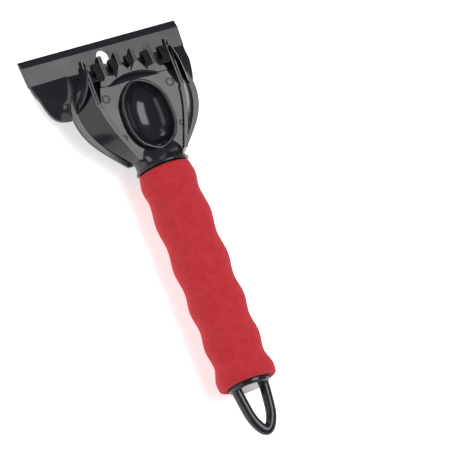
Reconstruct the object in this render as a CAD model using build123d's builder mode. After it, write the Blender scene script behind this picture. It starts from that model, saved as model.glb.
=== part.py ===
"""Windshield ice scraper: one moulded scraper body and the foam sleeve on its handle.

Frame: +X across the blade, +Y from the hang loop to the blade's edge, +Z out of the thumb side.
The blade's flat underside lies on z = 0, and x = 0 is the middle of the blade.
Lengths are in millimetres. "Back" is the distance behind the blade's front edge, and
"rise" is the height above the blade's upper face.
"""

import os
from math import sqrt

from build123d import *

# Overall size
LENGTH = 252.0
FRONT_Y = LENGTH / 2
PLATE = 2.6
AXIS_RISE = 18.5
AXIS_Z = PLATE + AXIS_RISE

# Blade
BLADE_HALF = 51.6
BLADE_BACK_HALF = 50.7
BEVEL_BACK = 4.4
BEVEL_RISE = 1.9
HOLE_R = 4.3
HOLE_BACK = 10.0
BLADE_BACK = 16.0
SCOOP_START = 14.5
SCOOP_FOOT = (-0.3, -2.3)
MOUTH_START = 14.0
MOUTH_FOOT = (-0.6, -2.0)
MOUTH_HALF = 27.7
CHEEK_INNER = 25.9
CHEEK_WIDE = 1.4

# Shield
DECK_RISE = 26.0
PANEL_DROP = 1.4
FLANGE_RISE = 13.5
FLANGE_LIP = 2.0
DECK_THICK = 4.2
FLANGE_THICK = 2.0
WALL = 3.0

ARC_HALF = 18.0
PANEL_START = 33.2
PIN_MARKS = [(21.0, 40.4, 2.4), (18.6, 65.0, 1.5)]

# Comb
RIB_X = (5.2, 15.9)
RIB_TOP = 2.3
TIP_BACK = 15.4
FINGER_RISE = 20.4
RIB_TALL = 8.0
LEG_BACK = 28.6
GAP_WIDE = 4.0
GAP_BACK = 28.0
FINGER_GAPS = (-21.7, -10.6, 0, 10.6, 21.7)
PITCH = 10.6
RIB_APEX = (23.5, 27.8)
RIDGE_WIDE = 2.5
RIDGE_INNER = 26.1
GROOVE_WIDE = 0.7
GROOVE_DEEP = 0.4
FINGER_BACK = 17.6
TIP_RISE = 27.6
RIDGE_X = 27.4

# Thumb dimple
EGG_AXIS_Z = PLATE + DECK_RISE + 4.0
BOWL_WALL = 1.9
COLLAR_RISE = 0.7
BEAD_R = 1.1

# Handle
CORE_R = 12.2
CORE_START = 84.0
CORE_END = 223.0
CORE_ROUND = 1.6
NECK = [(62.0, 20.5, 5.4), (71.0, 18.6, 6.2), (78.0, 16.4, 9.2), (84.7, 15.0, 15.0)]
COLLAR_R = 15.9
COLLAR_BACK = 86.5
COLLAR_LONG = 1.8
FOAM_START = 87.0
FOAM_GAP = 0.1

HANDLE_AXIS = Axis((0, 0, AXIS_Z), (0, 1, 0))

# Loop: the rod's radius, and half of its middle line as (x, back)
LOOP_R = 3.1
LOOP_SIDE = [(9.1, 214.0), (8.9, 222.0), (7.6, 233.0), (5.2, 243.0)]


def plan(x, back):
    """A point of a horizontal sketch."""
    return (x, FRONT_Y - back)


def side(back, rise):
    """A point of a sketch on Plane.YZ."""
    return (FRONT_Y - back, PLATE + rise)


def level(rise):
    """The horizontal plane at a rise above the blade."""
    return Plane.XY.offset(PLATE + rise)


def both_sides(points):
    """A half outline, front to back, followed by its mirror image, back to front."""
    right = [plan(x, back) for x, back in points]
    left = [plan(-x, back) for x, back in reversed(points)]
    return right, left


# Half outlines in plan, (x, back), from front to back
HEAD_SIDE = [(50.8, 10.0), (50.2, 17.0), (49.0, 27.0), (47.0, 35.2), (44.0, 40.6)]
HEAD_SIDE += [(40.4, 43.4), (35.0, 46.5)]
SHIELD_TOP = [(28.6, 30.0), (27.9, 44.3), (25.7, 55.0), (22.6, 64.0), (15.9, 80.0)]
SHIELD_FOOT = [(33.0, 30.0), (38.0, 46.0), (34.4, 58.5), (27.7, 68.0), (16.4, 80.0)]

# Scoop sections: x, then the low pull, high pull, crease and lip as (back, rise)
SCOOP = [
    (27.0, (19.5, 1.0), (22.5, 9.0), (21.5, 20.5), (17.2, 27.4)),
    (33.5, (23.0, 1.8), (29.5, 6.5), (32.0, 11.5), (36.4, 23.0)),
    (41.0, (23.0, 1.6), (28.5, 4.0), (32.2, 7.0), (44.2, 9.4)),
    (51.5, (18.2, 0.4), (20.4, 1.2), (22.0, 2.0), (38.6, 4.4)),
]
SCOOP_WALL = 2.2


def square_to(start, end):
    """The wall's thickness as a step away from the scoop's hollow side."""
    run, climb = end[0] - start[0], end[1] - start[1]
    length = sqrt(run**2 + climb**2)
    return (SCOOP_WALL * climb / length, -SCOOP_WALL * run / length)


def scoop_section(x, low_pull, high_pull, crease, lip):
    """Half of the scoop is lofted through these closed sections, one at each x."""
    behind = square_to(high_pull, crease)
    back_crease = (crease[0] + behind[0], crease[1] + behind[1])
    back_pull = (high_pull[0] + behind[0], high_pull[1] + behind[1])
    lip_behind = square_to(crease, lip)
    back_lip = (lip[0] + lip_behind[0], lip[1] + lip_behind[1])
    with BuildSketch(Plane.YZ.offset(x)) as section:
        with BuildLine():
            Bezier(side(SCOOP_START, SCOOP_FOOT[0]), side(*low_pull), side(*high_pull), side(*crease))
            Line(side(*crease), side(*lip))
            Line(side(*lip), side(*back_lip))
            Line(side(*back_lip), side(*back_crease))
            Bezier(
                side(*back_crease),
                side(*back_pull),
                side(low_pull[0] + SCOOP_WALL, SCOOP_FOOT[1]),
                side(SCOOP_START, SCOOP_FOOT[1]),
            )
            Line(side(SCOOP_START, SCOOP_FOOT[1]), side(SCOOP_START, SCOOP_FOOT[0]))
        make_face()
    return section.sketch


scoop_sections = [scoop_section(*row) for row in SCOOP]

# The two ears of the scoop, trimmed to the head's outline
with BuildPart() as ears:
    loft(scoop_sections)
    with BuildSketch(Plane.XY.offset(-1)):
        with BuildLine():
            Spline([plan(x, back) for x, back in HEAD_SIDE])
            Polyline(plan(*HEAD_SIDE[-1]), plan(24, 46.5), plan(24, 10), plan(*HEAD_SIDE[0]))
        make_face()
    extrude(amount=60, mode=Mode.INTERSECT)
    mirror(about=Plane.YZ)

# The flat of the blade, with its bevels
with BuildPart() as blade:
    with BuildSketch():
        with BuildLine():
            Line(plan(-BLADE_BACK_HALF, BLADE_BACK), plan(BLADE_BACK_HALF, BLADE_BACK))
            Line(plan(BLADE_BACK_HALF, BLADE_BACK), plan(BLADE_HALF, 0))
            Line(plan(BLADE_HALF, 0), plan(-BLADE_HALF, 0))
            Line(plan(-BLADE_HALF, 0), plan(-BLADE_BACK_HALF, BLADE_BACK))
        make_face()
    extrude(amount=PLATE)
    front_edge = blade.edges().filter_by(Axis.X).group_by(Axis.Y)[-1].sort_by(Axis.Z)[-1]
    chamfer(front_edge, length=BEVEL_RISE, length2=BEVEL_BACK)

# The mouth's floor and rear wall, below the comb
with BuildPart() as mouth:
    with BuildSketch(Plane.YZ):
        with BuildLine():
            Bezier(
                side(MOUTH_START, MOUTH_FOOT[0]),
                side(25.0, MOUTH_FOOT[0]),
                side(31.5, 5.0),
                side(31.5, 20.0),
            )
            Line(side(31.5, 20.0), side(34.0, 20.0))
            Bezier(
                side(34.0, 20.0),
                side(34.5, 3.0),
                side(30.0, MOUTH_FOOT[1]),
                side(MOUTH_START, MOUTH_FOOT[1]),
            )
            Line(side(MOUTH_START, MOUTH_FOOT[1]), side(MOUTH_START, MOUTH_FOOT[0]))
        make_face()
    extrude(amount=MOUTH_HALF, both=True)

# The mouth's side walls, between the scoop and the rear wall
with BuildPart() as cheeks:
    with BuildSketch(Plane.YZ.offset(CHEEK_INNER)):
        with BuildLine():
            Polyline(
                side(18.6, -0.9),
                side(18.6, -1.4),
                side(24.0, -0.4),
                side(30.0, 4.5),
                side(33.0, 14.0),
                side(33.0, 22.0),
                side(21.4, 23.0),
                side(22.9, 12.0),
                side(21.6, 4.6),
                close=True,
            )
        make_face()
    extrude(amount=CHEEK_WIDE)
    mirror(about=Plane.YZ)

# The comb's two outer ridges, each running forward into a tooth
with BuildPart() as ridges:
    with BuildSketch(Plane.YZ.offset(RIDGE_X - RIDGE_WIDE / 2)):
        with BuildLine():
            Polyline(
                side(TIP_BACK, TIP_RISE),
                side(TIP_BACK, TIP_RISE - 3.2),
                side(21.0, 22.0),
                side(36.0, 20.0),
                side(44.0, DECK_RISE),
                side(36.0, DECK_RISE + 0.2),
                side(22.0, DECK_RISE + 0.8),
                close=True,
            )
        make_face()
    extrude(amount=RIDGE_WIDE)
    mirror(about=Plane.YZ)


def shell_outline(points, front_in, side_in, back_in):
    """A closed outline through a half outline and its mirror image, drawn in by the given amounts."""
    first, last = points[0][1], points[-1][1]
    inner = [(x - side_in, min(max(back, first + front_in), last - back_in)) for x, back in points]
    right, left = both_sides(inner)
    with BuildLine() as outline:
        Spline(right)
        Line(right[-1], left[0])
        Spline(left)
        Line(left[-1], right[0])
    return outline.line


# The shield's shell: splayed side walls under a flat deck, open below
with BuildPart() as shield:
    for rise, outline in ((FLANGE_RISE, SHIELD_FOOT), (DECK_RISE, SHIELD_TOP)):
        with BuildSketch(level(rise)):
            add(shell_outline(outline, 0, 0, 0))
            make_face()
    loft()
    with BuildSketch(level(FLANGE_RISE)):
        add(shell_outline(SHIELD_FOOT, 0, -FLANGE_LIP, 0))
        make_face()
    extrude(amount=FLANGE_THICK)
    for rise, outline in ((FLANGE_RISE - 0.1, SHIELD_FOOT), (DECK_RISE - DECK_THICK, SHIELD_TOP)):
        with BuildSketch(level(rise)):
            add(shell_outline(outline, 3, WALL, 4))
            make_face()
    loft(mode=Mode.SUBTRACT)

# The deck's sunk details: the panel inside its ridges, the arc behind the comb and the side pockets
with BuildPart() as sunk:
    with BuildSketch(level(DECK_RISE + 5)):
        add(shell_outline(SHIELD_TOP, PANEL_START - 30, RIDGE_WIDE, 0))
        make_face()
    extrude(amount=-5 - PANEL_DROP)
    for x, back, radius in PIN_MARKS:
        with BuildSketch(level(DECK_RISE - PANEL_DROP)):
            with Locations(plan(x, back), plan(-x, back)):
                Circle(radius)
                Circle(radius - 0.5, mode=Mode.SUBTRACT)
        extrude(amount=-0.3)


def ramp(low, high):
    """Everything above a ramp that climbs from the low point to the high one, each (back, rise)."""
    with BuildPart() as above:
        with BuildSketch(Plane.YZ):
            with BuildLine():
                Polyline(
                    side(*low),
                    side(*high),
                    side(high[0], DECK_RISE + 6),
                    side(low[0], DECK_RISE + 6),
                    close=True,
                )
            make_face()
        extrude(amount=40, both=True)
    return above.part


arc_ramp = ramp((28.6, 23.0), (36.6, 25.4))
pocket_ramp = ramp((27.0, 19.4), (44.8, 25.6))

# The arc behind the comb
with BuildPart() as arc:
    with BuildSketch(level(DECK_RISE - 6)):
        with BuildLine():
            ThreePointArc(plan(-ARC_HALF, 34.6), plan(0, 29.0), plan(ARC_HALF, 34.6))
            Line(plan(ARC_HALF, 34.6), plan(ARC_HALF, 35.8))
            ThreePointArc(plan(ARC_HALF, 35.8), plan(0, 33.2), plan(-ARC_HALF, 35.8))
            Line(plan(-ARC_HALF, 35.8), plan(-ARC_HALF, 34.6))
        make_face()
    extrude(amount=12)
    add(arc_ramp, mode=Mode.INTERSECT)

# The pockets beside the two outer ridges
with BuildPart() as pockets:
    with BuildSketch(level(DECK_RISE - 8)):
        for turn in (1, -1):
            with BuildLine():
                Polyline(
                    plan(turn * 20.4, 29),
                    plan(turn * RIDGE_INNER, 29),
                    plan(turn * RIDGE_INNER, 44.6),
                    plan(turn * 25.6, 44.6),
                    plan(turn * 22.2, 34.0),
                    close=True,
                )
            make_face()
    extrude(amount=14)
    add(pocket_ramp, mode=Mode.INTERSECT)

# A groove along the top of each rib and ridge
with BuildPart() as rib_grooves:
    for x, end in zip((*RIB_X, RIDGE_X), (*RIB_APEX, 43.0)):
        with BuildSketch(level(DECK_RISE + 5)):
            with Locations(plan(x, (TIP_BACK + 1 + end) / 2), plan(-x, (TIP_BACK + 1 + end) / 2)):
                Rectangle(GROOVE_WIDE, end - TIP_BACK - 1)
        extrude(amount=-5 - GROOVE_DEEP)

# The comb's roof over the mouth, sloping down to the fingers' blunt ends
with BuildPart() as fingers:
    with BuildSketch(Plane.YZ):
        with BuildLine():
            Polyline(
                side(FINGER_BACK, FINGER_RISE),
                side(FINGER_BACK, FINGER_RISE - 2.0),
                side(31.0, 14.0),
                side(35.0, 20.0),
                side(35.0, DECK_RISE - 0.6),
                side(30.0, DECK_RISE - 0.6),
                close=True,
            )
        make_face()
    extrude(amount=RIDGE_X, both=True)
    with BuildSketch(level(0)):
        for middle in FINGER_GAPS:
            with BuildLine():
                Polyline(
                    plan(middle - GAP_WIDE / 2, FINGER_BACK - 1),
                    plan(middle + GAP_WIDE / 2, FINGER_BACK - 1),
                    plan(middle + GAP_WIDE / 2, GAP_BACK - 3),
                    plan(middle, GAP_BACK),
                    plan(middle - GAP_WIDE / 2, GAP_BACK - 3),
                    close=True,
                )
            make_face()
    extrude(amount=DECK_RISE + 4, mode=Mode.SUBTRACT)

# Thin ribs on the fingers, each splitting in two at its apex and widening back to the deck
with BuildPart() as ribs:
    with BuildSketch(level(DECK_RISE)):
        for x, apex in zip(RIB_X, RIB_APEX):
            for turn in (1, -1):
                with BuildLine():
                    Polyline(
                        plan(turn * (x - RIB_TOP / 2), TIP_BACK),
                        plan(turn * (x + RIB_TOP / 2), TIP_BACK),
                        plan(turn * (x + RIB_TOP / 2), apex),
                        plan(turn * (x + PITCH / 2 + 0.05), apex + 7.5),
                        plan(turn * (x + PITCH / 2 + 0.05), 35),
                        plan(turn * (x - PITCH / 2 - 0.05), 35),
                        plan(turn * (x - PITCH / 2 - 0.05), LEG_BACK),
                        plan(turn * (x - RIB_TOP / 2), apex),
                        close=True,
                    )
                make_face()
    extrude(amount=-RIB_TALL)
    with BuildSketch(Plane.YZ):
        with BuildLine():
            Polyline(
                side(TIP_BACK, TIP_RISE - 1.6),
                side(TIP_BACK, TIP_RISE - 4.4),
                side(FINGER_BACK + 0.8, 18.6),
                side(36.0, 15.0),
                side(36.0, 30.0),
                side(TIP_BACK, 30.0),
                close=True,
            )
        make_face()
    extrude(amount=40, both=True, mode=Mode.INTERSECT)

# Neck, from the shield's rear to the round collar that the foam meets
with BuildPart() as neck:
    for back, half_wide, half_tall in NECK:
        with BuildSketch(Plane.XZ.offset(-(FRONT_Y - back))):
            with Locations((0, AXIS_Z)):
                Ellipse(half_wide, half_tall)
    loft()
    with BuildSketch(Plane.YZ):
        with Locations((FRONT_Y - COLLAR_BACK + COLLAR_LONG / 2, AXIS_Z + COLLAR_R - 3)):
            RectangleRounded(COLLAR_LONG, 6, 0.8)
    revolve(axis=HANDLE_AXIS)

# Thumb dimple: an egg-shaped bowl in a raised collar
EGG = [(35.4, 0), (36.8, 5.0), (39.4, 8.4), (43.4, 11.4), (48.4, 13.3), (54.0, 13.9)]
EGG += [(60.0, 13.9), (66.0, 12.6), (70.6, 10.2), (74.0, 6.4), (75.8, 0)]


def egg_solid(grow):
    """The egg turned about a line above the deck, every radius larger by grow."""
    points = [(FRONT_Y - back, EGG_AXIS_Z + radius + grow) for back, radius in EGG[1:-1]]
    front = (FRONT_Y - EGG[0][0] + grow, EGG_AXIS_Z)
    rear = (FRONT_Y - EGG[-1][0] - grow, EGG_AXIS_Z)
    with BuildPart() as egg:
        with BuildSketch(Plane.YZ):
            with BuildLine():
                Spline([front] + points + [rear], tangents=((0, 1), (0, -1)))
                Line(rear, front)
            make_face()
        revolve(axis=Axis((0, 0, EGG_AXIS_Z), (0, 1, 0)))
    return egg.part


bowl = egg_solid(0)
bowl_shell = egg_solid(BOWL_WALL)

# The egg's collar: the bowl's shell trimmed off a little above the panel
with BuildPart() as collar:
    add(bowl_shell)
    with BuildSketch(level(DECK_RISE - DECK_THICK - 12)):
        Rectangle(60, LENGTH)
    extrude(amount=DECK_THICK + 12 + COLLAR_RISE, mode=Mode.INTERSECT)
    add(bowl, mode=Mode.SUBTRACT)

# A round bead along the collar's top
rim_drop = EGG_AXIS_Z - PLATE - DECK_RISE - COLLAR_RISE
rim_side = [
    (sqrt(radius**2 - rim_drop**2) + BOWL_WALL / 2, back)
    for back, radius in EGG
    if radius > 2 * rim_drop - 1
]
rim_right, rim_left = both_sides(rim_side)
rim_front = plan(0, EGG[0][0] + 0.4 - BOWL_WALL / 2)
rim_rear = plan(0, EGG[-1][0] - 0.4 + BOWL_WALL / 2)
with BuildPart() as bead:
    with BuildLine(level(DECK_RISE + COLLAR_RISE)) as rim_path:
        Spline([rim_front] + rim_right + [rim_rear] + rim_left, periodic=True)
    with BuildSketch(rim_path.line ^ 0):
        Circle(BEAD_R)
    sweep()

# Core under the foam
with BuildPart() as core:
    with BuildSketch(Plane.XZ.offset(-(FRONT_Y - CORE_START))):
        with Locations((0, AXIS_Z)):
            Circle(CORE_R)
    extrude(amount=CORE_END - CORE_START)
    fillet(core.faces().sort_by(Axis.Y)[0].edges(), radius=CORE_ROUND)

# Hang loop: a round rod bent into a tapering U, starting inside the core
loop_right, loop_left = both_sides(LOOP_SIDE)
with BuildPart() as loop:
    with BuildLine(Plane.XY.offset(AXIS_Z)) as loop_path:
        Spline(loop_right + [plan(0, LENGTH - LOOP_R)] + loop_left)
    with BuildSketch(loop_path.line ^ 0):
        Circle(LOOP_R)
    sweep()

# The whole moulding
with BuildPart() as scraper_body:
    add(blade.part)
    add(ears.part)
    add(mouth.part)
    add(cheeks.part)
    add(ridges.part)
    add(shield.part)
    add(fingers.part)
    add(ribs.part)
    add(sunk.part, mode=Mode.SUBTRACT)
    add(arc.part, mode=Mode.SUBTRACT)
    add(pockets.part, mode=Mode.SUBTRACT)
    add(rib_grooves.part, mode=Mode.SUBTRACT)
    add(neck.part)
    add(bowl, mode=Mode.SUBTRACT)
    add(collar.part)
    add(bead.part)
    add(core.part)
    add(loop.part)
    with Locations((0, FRONT_Y - HOLE_BACK, PLATE / 2)):
        Cylinder(HOLE_R, 3 * PLATE, mode=Mode.SUBTRACT)

# Foam sleeve: waists and bumps along its length
FOAM = [(0, 15.3), (8, 16.4), (17, 15.2), (31, 16.6), (45.2, 15.2), (58.5, 16.6), (71.6, 15.2)]
FOAM += [(83.6, 16.6), (95.6, 15.2), (107, 16.6), (117.7, 15.3), (128, 17.6), (133, 17.2)]
with BuildPart() as foam_grip:
    with BuildSketch(Plane.YZ):
        with BuildLine():
            start = FRONT_Y - FOAM_START
            bore = AXIS_Z + CORE_R + FOAM_GAP
            outline = [(start - along, AXIS_Z + radius) for along, radius in FOAM]
            Spline(outline)
            Line(outline[-1], (outline[-1][0], bore))
            Line((outline[-1][0], bore), (start, bore))
            Line((start, bore), outline[0])
        make_face()
    revolve(axis=HANDLE_AXIS)

for name, piece in (("scraper_body", scraper_body), ("foam_grip", foam_grip)):
    print(name, piece.part.volume, piece.part.is_valid, len(piece.solids()))

os.makedirs("parts", exist_ok=True)
scraper_body.part.label = "scraper_body"
export_step(scraper_body.part, "parts/scraper_body.step")
foam_grip.part.label = "foam_grip"
export_step(foam_grip.part, "parts/foam_grip.step")
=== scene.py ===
"""Windshield ice scraper: glossy black moulding with a red foam sleeve on its handle."""

import math

import bpy
from mathutils import Matrix, Vector, noise


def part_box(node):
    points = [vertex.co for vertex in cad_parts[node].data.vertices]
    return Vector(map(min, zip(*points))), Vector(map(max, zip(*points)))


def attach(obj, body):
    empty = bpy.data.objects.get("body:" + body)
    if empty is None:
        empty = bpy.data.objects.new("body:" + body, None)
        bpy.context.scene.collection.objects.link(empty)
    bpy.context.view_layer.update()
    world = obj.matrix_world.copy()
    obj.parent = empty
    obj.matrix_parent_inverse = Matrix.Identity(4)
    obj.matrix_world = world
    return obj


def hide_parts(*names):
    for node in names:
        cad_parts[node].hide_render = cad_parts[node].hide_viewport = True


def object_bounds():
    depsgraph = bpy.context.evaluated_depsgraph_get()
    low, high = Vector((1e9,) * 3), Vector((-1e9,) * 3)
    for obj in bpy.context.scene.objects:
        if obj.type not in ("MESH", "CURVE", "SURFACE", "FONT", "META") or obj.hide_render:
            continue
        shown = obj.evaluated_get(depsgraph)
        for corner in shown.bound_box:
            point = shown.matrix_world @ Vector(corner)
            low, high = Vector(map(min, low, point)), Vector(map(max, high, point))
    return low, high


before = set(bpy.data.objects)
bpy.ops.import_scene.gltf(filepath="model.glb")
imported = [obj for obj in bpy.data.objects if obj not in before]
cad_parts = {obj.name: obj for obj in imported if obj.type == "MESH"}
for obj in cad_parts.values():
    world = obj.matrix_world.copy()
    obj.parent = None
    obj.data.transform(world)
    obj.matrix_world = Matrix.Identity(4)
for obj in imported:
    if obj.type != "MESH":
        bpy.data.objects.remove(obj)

CAD_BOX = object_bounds()
MM = 0.001

# Foam sleeve, in metres: its bore, its end rounding, its lumps as (noise scale, height), how far the
# skin is drawn in so that the lumps stay inside the CAD box, and the mesh's divisions
FOAM_BORE = 12.3 * MM
FOAM_ROUND = 1.6 * MM
LUMPS = ((260, 0.00006), (60, 0.00012))
FOAM_SINK = 0.0001
ROUND_STEPS = 7
LENGTH_STEPS = 340
TURNS = 160

FLOOR_HALF = 3.0
EDGE_Z = 2.6 * MM

# Camera: a long lens above the scraper and to its left. ACROSS and DOWN lead from the middle of the
# blade's edge to the middle of the view, and VIEW_WIDTH is the view's width there, all in metres
VIEW = Vector((-0.4501, -0.1953, 0.8717))
RIGHT = Vector((0.8589, -0.3620, 0.3624))
DISTANCE = 8.0
VIEW_WIDTH = 0.2676
ACROSS = 0.0786
DOWN = 0.1107
SENSOR = 36.0


def material(name, colour, roughness):
    """A material with the given colour and roughness, its node tree and its shader."""
    made = bpy.data.materials.new(name)
    made.use_nodes = True
    shader = made.node_tree.nodes["Principled BSDF"]
    shader.inputs["Base Color"].default_value = (*colour, 1)
    shader.inputs["Roughness"].default_value = roughness
    return made, made.node_tree, shader


def texture_node(tree, kind, scale):
    """A texture of the given kind in object coordinates."""
    coordinates = tree.nodes.new("ShaderNodeTexCoord")
    texture = tree.nodes.new(kind)
    texture.inputs["Scale"].default_value = scale
    tree.links.new(coordinates.outputs["Object"], texture.inputs["Vector"])
    return texture


def noise_output(tree, scale, detail):
    """The value of a noise texture, 0 to 1."""
    texture = texture_node(tree, "ShaderNodeTexNoise", scale)
    texture.inputs["Detail"].default_value = detail
    return texture.outputs["Fac"]


def spread(tree, source, low, high):
    """A noise value, nearly always 0.3 to 0.7, mapped to the range from low to high."""
    mapped = tree.nodes.new("ShaderNodeMapRange")
    mapped.inputs["From Min"].default_value = 0.3
    mapped.inputs["From Max"].default_value = 0.7
    mapped.inputs["To Min"].default_value = low
    mapped.inputs["To Max"].default_value = high
    tree.links.new(source, mapped.inputs["Value"])
    return mapped.outputs["Result"]


def bump(tree, height, strength, distance, under=None):
    """A bump of the given height texture, on top of another normal if there is one."""
    node = tree.nodes.new("ShaderNodeBump")
    node.inputs["Strength"].default_value = strength
    node.inputs["Distance"].default_value = distance
    tree.links.new(height, node.inputs["Height"])
    if under is not None:
        tree.links.new(under, node.inputs["Normal"])
    return node.outputs["Normal"]


def black_plastic():
    """Glossy moulded plastic: softened edges, a faint ripple and grain, and uneven gloss."""
    made, tree, shader = material("black_plastic", (0.012, 0.012, 0.016), 0.16)
    shader.inputs["IOR"].default_value = 1.5
    gloss = noise_output(tree, 60, 3)
    tree.links.new(spread(tree, gloss, 0.12, 0.2), shader.inputs["Roughness"])
    ripple = noise_output(tree, 45, 2)
    grain = noise_output(tree, 1800, 2)
    rounded = tree.nodes.new("ShaderNodeBevel")
    rounded.samples = 6
    rounded.inputs["Radius"].default_value = 0.0004
    smooth = bump(tree, ripple, 0.25, 0.0002, rounded.outputs["Normal"])
    tree.links.new(bump(tree, grain, 0.05, 0.00003, smooth), shader.inputs["Normal"])
    return made


def red_foam():
    """Matte closed-cell foam: fine cells, faint mottling and a soft bloom at grazing angles."""
    made, tree, shader = material("red_foam", (0.46, 0.025, 0.035), 0.86)
    shader.inputs["Sheen Weight"].default_value = 0.12
    shader.inputs["Sheen Roughness"].default_value = 0.5
    shader.inputs["Sheen Tint"].default_value = (1.0, 0.35, 0.35, 1)
    shader.inputs["Specular IOR Level"].default_value = 0.25
    mottle = noise_output(tree, 260, 6)
    ramp = tree.nodes.new("ShaderNodeValToRGB")
    ramp.color_ramp.elements[0].position = 0.3
    ramp.color_ramp.elements[0].color = (0.45, 0.023, 0.031, 1)
    ramp.color_ramp.elements[1].position = 0.7
    ramp.color_ramp.elements[1].color = (0.54, 0.030, 0.040, 1)
    tree.links.new(mottle, ramp.inputs["Fac"])
    tree.links.new(ramp.outputs["Color"], shader.inputs["Base Color"])
    cells = texture_node(tree, "ShaderNodeTexVoronoi", 1500)
    fine = bump(tree, cells.outputs["Distance"], 0.35, 0.0003)
    soft = noise_output(tree, 420, 4)
    tree.links.new(bump(tree, soft, 0.3, 0.0004, fine), shader.inputs["Normal"])
    return made


def finish_body():
    """The moulding keeps its CAD shape and takes the glossy plastic."""
    plastic = black_plastic()
    for slot in bpy.data.objects["scraper_body"].material_slots:
        slot.material = plastic


# Foam radius along its length, (distance from the head end, radius), in millimetres
FOAM_WAVES = [(0, 15.3), (8, 16.4), (17, 15.2), (31, 16.6), (45.2, 15.2), (58.5, 16.6), (71.6, 15.2)]
FOAM_WAVES += [(83.6, 16.6), (95.6, 15.2), (107, 16.6), (117.7, 15.3), (128, 17.6), (133, 17.2)]


def wave_radius(along):
    """The foam's radius at a distance from its head end, smooth between the listed places."""
    for (start, first), (end, second) in zip(FOAM_WAVES, FOAM_WAVES[1:]):
        if along <= end:
            turn = (along - start) / (end - start)
            return (first + (second - first) * (1 - math.cos(math.pi * turn)) / 2) * MM
    return FOAM_WAVES[-1][1] * MM


def foam_profile(length):
    """The sleeve's outer line from the head end, (distance along, radius), with rounded ends."""
    first, last = wave_radius(0), wave_radius(length / MM)
    quarter = [math.pi / 2 * step / ROUND_STEPS for step in range(ROUND_STEPS + 1)]
    corner = [(FOAM_ROUND * (1 - math.cos(turn)), FOAM_ROUND * (1 - math.sin(turn))) for turn in quarter]
    middle = length - 2 * FOAM_ROUND
    profile = [(0.0, FOAM_BORE)]
    profile += [(inset, first - drop) for inset, drop in corner]
    for step in range(1, LENGTH_STEPS):
        along = FOAM_ROUND + middle * step / LENGTH_STEPS
        profile.append((along, wave_radius(along / MM)))
    profile += [(length - inset, last - drop) for inset, drop in reversed(corner)]
    profile.append((length, FOAM_BORE))
    return profile


def foam_grip():
    """The foam sleeve: a wavy tube with rounded ends and a faintly uneven skin."""
    low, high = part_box("foam_grip")
    axis_z = (low[2] + high[2]) / 2
    profile = foam_profile(high[1] - low[1])
    count = len(profile)
    points, faces = [], []
    for row, (along, radius) in enumerate(profile):
        after = (row + 1) % count
        for turn in range(TURNS):
            angle = 2 * math.pi * turn / TURNS
            outward = Vector((math.sin(angle), 0, math.cos(angle)))
            place = Vector((0, high[1] - along, axis_z)) + outward * radius
            if 0 < row < count - 1:
                lump = sum(noise.noise(place * scale) * size for scale, size in LUMPS)
                place += outward * (lump - FOAM_SINK)
            points.append(place)
            side = (turn + 1) % TURNS
            here, there = row * TURNS, after * TURNS
            faces.append((here + turn, here + side, there + side, there + turn))
    mesh = bpy.data.meshes.new("foam_sleeve")
    mesh.from_pydata(points, [], faces)
    for face in mesh.polygons:
        face.use_smooth = True
    mesh.materials.append(red_foam())
    sleeve = bpy.data.objects.new("foam_sleeve", mesh)
    bpy.context.collection.objects.link(sleeve)
    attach(sleeve, "root")
    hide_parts("foam_grip")


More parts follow.
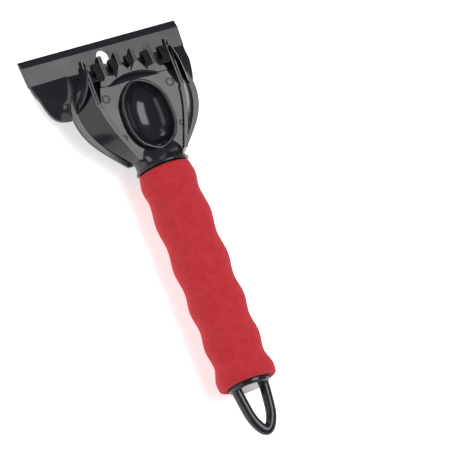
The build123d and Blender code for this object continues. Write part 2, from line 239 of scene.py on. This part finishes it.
def floor():
    """A plain pale floor under the scraper, glowing a little so that it stays white."""
    drop = CAD_BOX[0][2]
    corners = [(x * FLOOR_HALF, y * FLOOR_HALF, drop) for x, y in ((-1, -1), (1, -1), (1, 1), (-1, 1))]
    mesh = bpy.data.meshes.new("floor")
    mesh.from_pydata(corners, [], [(0, 1, 2, 3)])
    ground = bpy.data.objects.new("floor", mesh)
    bpy.context.collection.objects.link(ground)
    pale, _, shader = material("pale_floor", (0.93, 0.93, 0.93), 0.6)
    shader.inputs["Specular IOR Level"].default_value = 0.2
    shader.inputs["Emission Color"].default_value = (1, 1, 1, 1)
    shader.inputs["Emission Strength"].default_value = 0.6
    mesh.materials.append(pale)


def softbox(name, toward, distance, size, radiance, mirrored=True):
    """A rectangular light in the given direction from the scraper, facing it."""
    light = bpy.data.lights.new(name, "AREA")
    light.shape = "RECTANGLE"
    light.size, light.size_y = size
    light.energy = radiance * math.pi * size[0] * size[1]
    lamp = bpy.data.objects.new(name, light)
    bpy.context.collection.objects.link(lamp)
    lamp.visible_glossy = mirrored
    direction = Vector(toward).normalized()
    turn = direction.to_track_quat("Z", "Y").to_matrix().to_4x4()
    lamp.matrix_world = Matrix.Translation(direction * distance) @ turn


def lights():
    """Softboxes overhead, low on the left and beyond the blade, and a fill the gloss doesn't mirror."""
    softbox("key", (0.25, -0.06, 0.96), 1.5, (1.25, 0.9), 4.8)
    softbox("side", (-1, 0.15, 0.3), 1.5, (1.6, 0.8), 1.35)
    softbox("front", (-0.45, 0.85, 0.42), 1.5, (0.5, 0.45), 3.0)
    softbox("fill", (0.3, -0.4, 0.9), 2.5, (2.5, 2.5), 0.5, mirrored=False)
    world = bpy.data.worlds.new("room")
    world.use_nodes = True
    background = world.node_tree.nodes["Background"]
    background.inputs["Color"].default_value = (0.93, 0.93, 1.0, 1)
    background.inputs["Strength"].default_value = 0.22
    bpy.context.scene.world = world
    bpy.context.scene.view_settings.view_transform = "Standard"


def camera():
    """The camera, looking at the place that ACROSS and DOWN give."""
    up = VIEW.cross(RIGHT).normalized()
    edge = Vector((0, CAD_BOX[1][1], EDGE_Z))
    target = edge + RIGHT * ACROSS - up * DOWN
    data = bpy.data.cameras.new("camera")
    data.sensor_width = SENSOR
    data.lens = DISTANCE * SENSOR / VIEW_WIDTH
    data.clip_end = 20
    eye = bpy.data.objects.new("camera", data)
    bpy.context.collection.objects.link(eye)
    axes = Matrix((RIGHT, up, VIEW)).transposed()
    eye.matrix_world = Matrix.Translation(target + VIEW * DISTANCE) @ axes.to_4x4()
    bpy.context.scene.camera = eye


finish_body()
foam_grip()
floor()
lights()
camera()
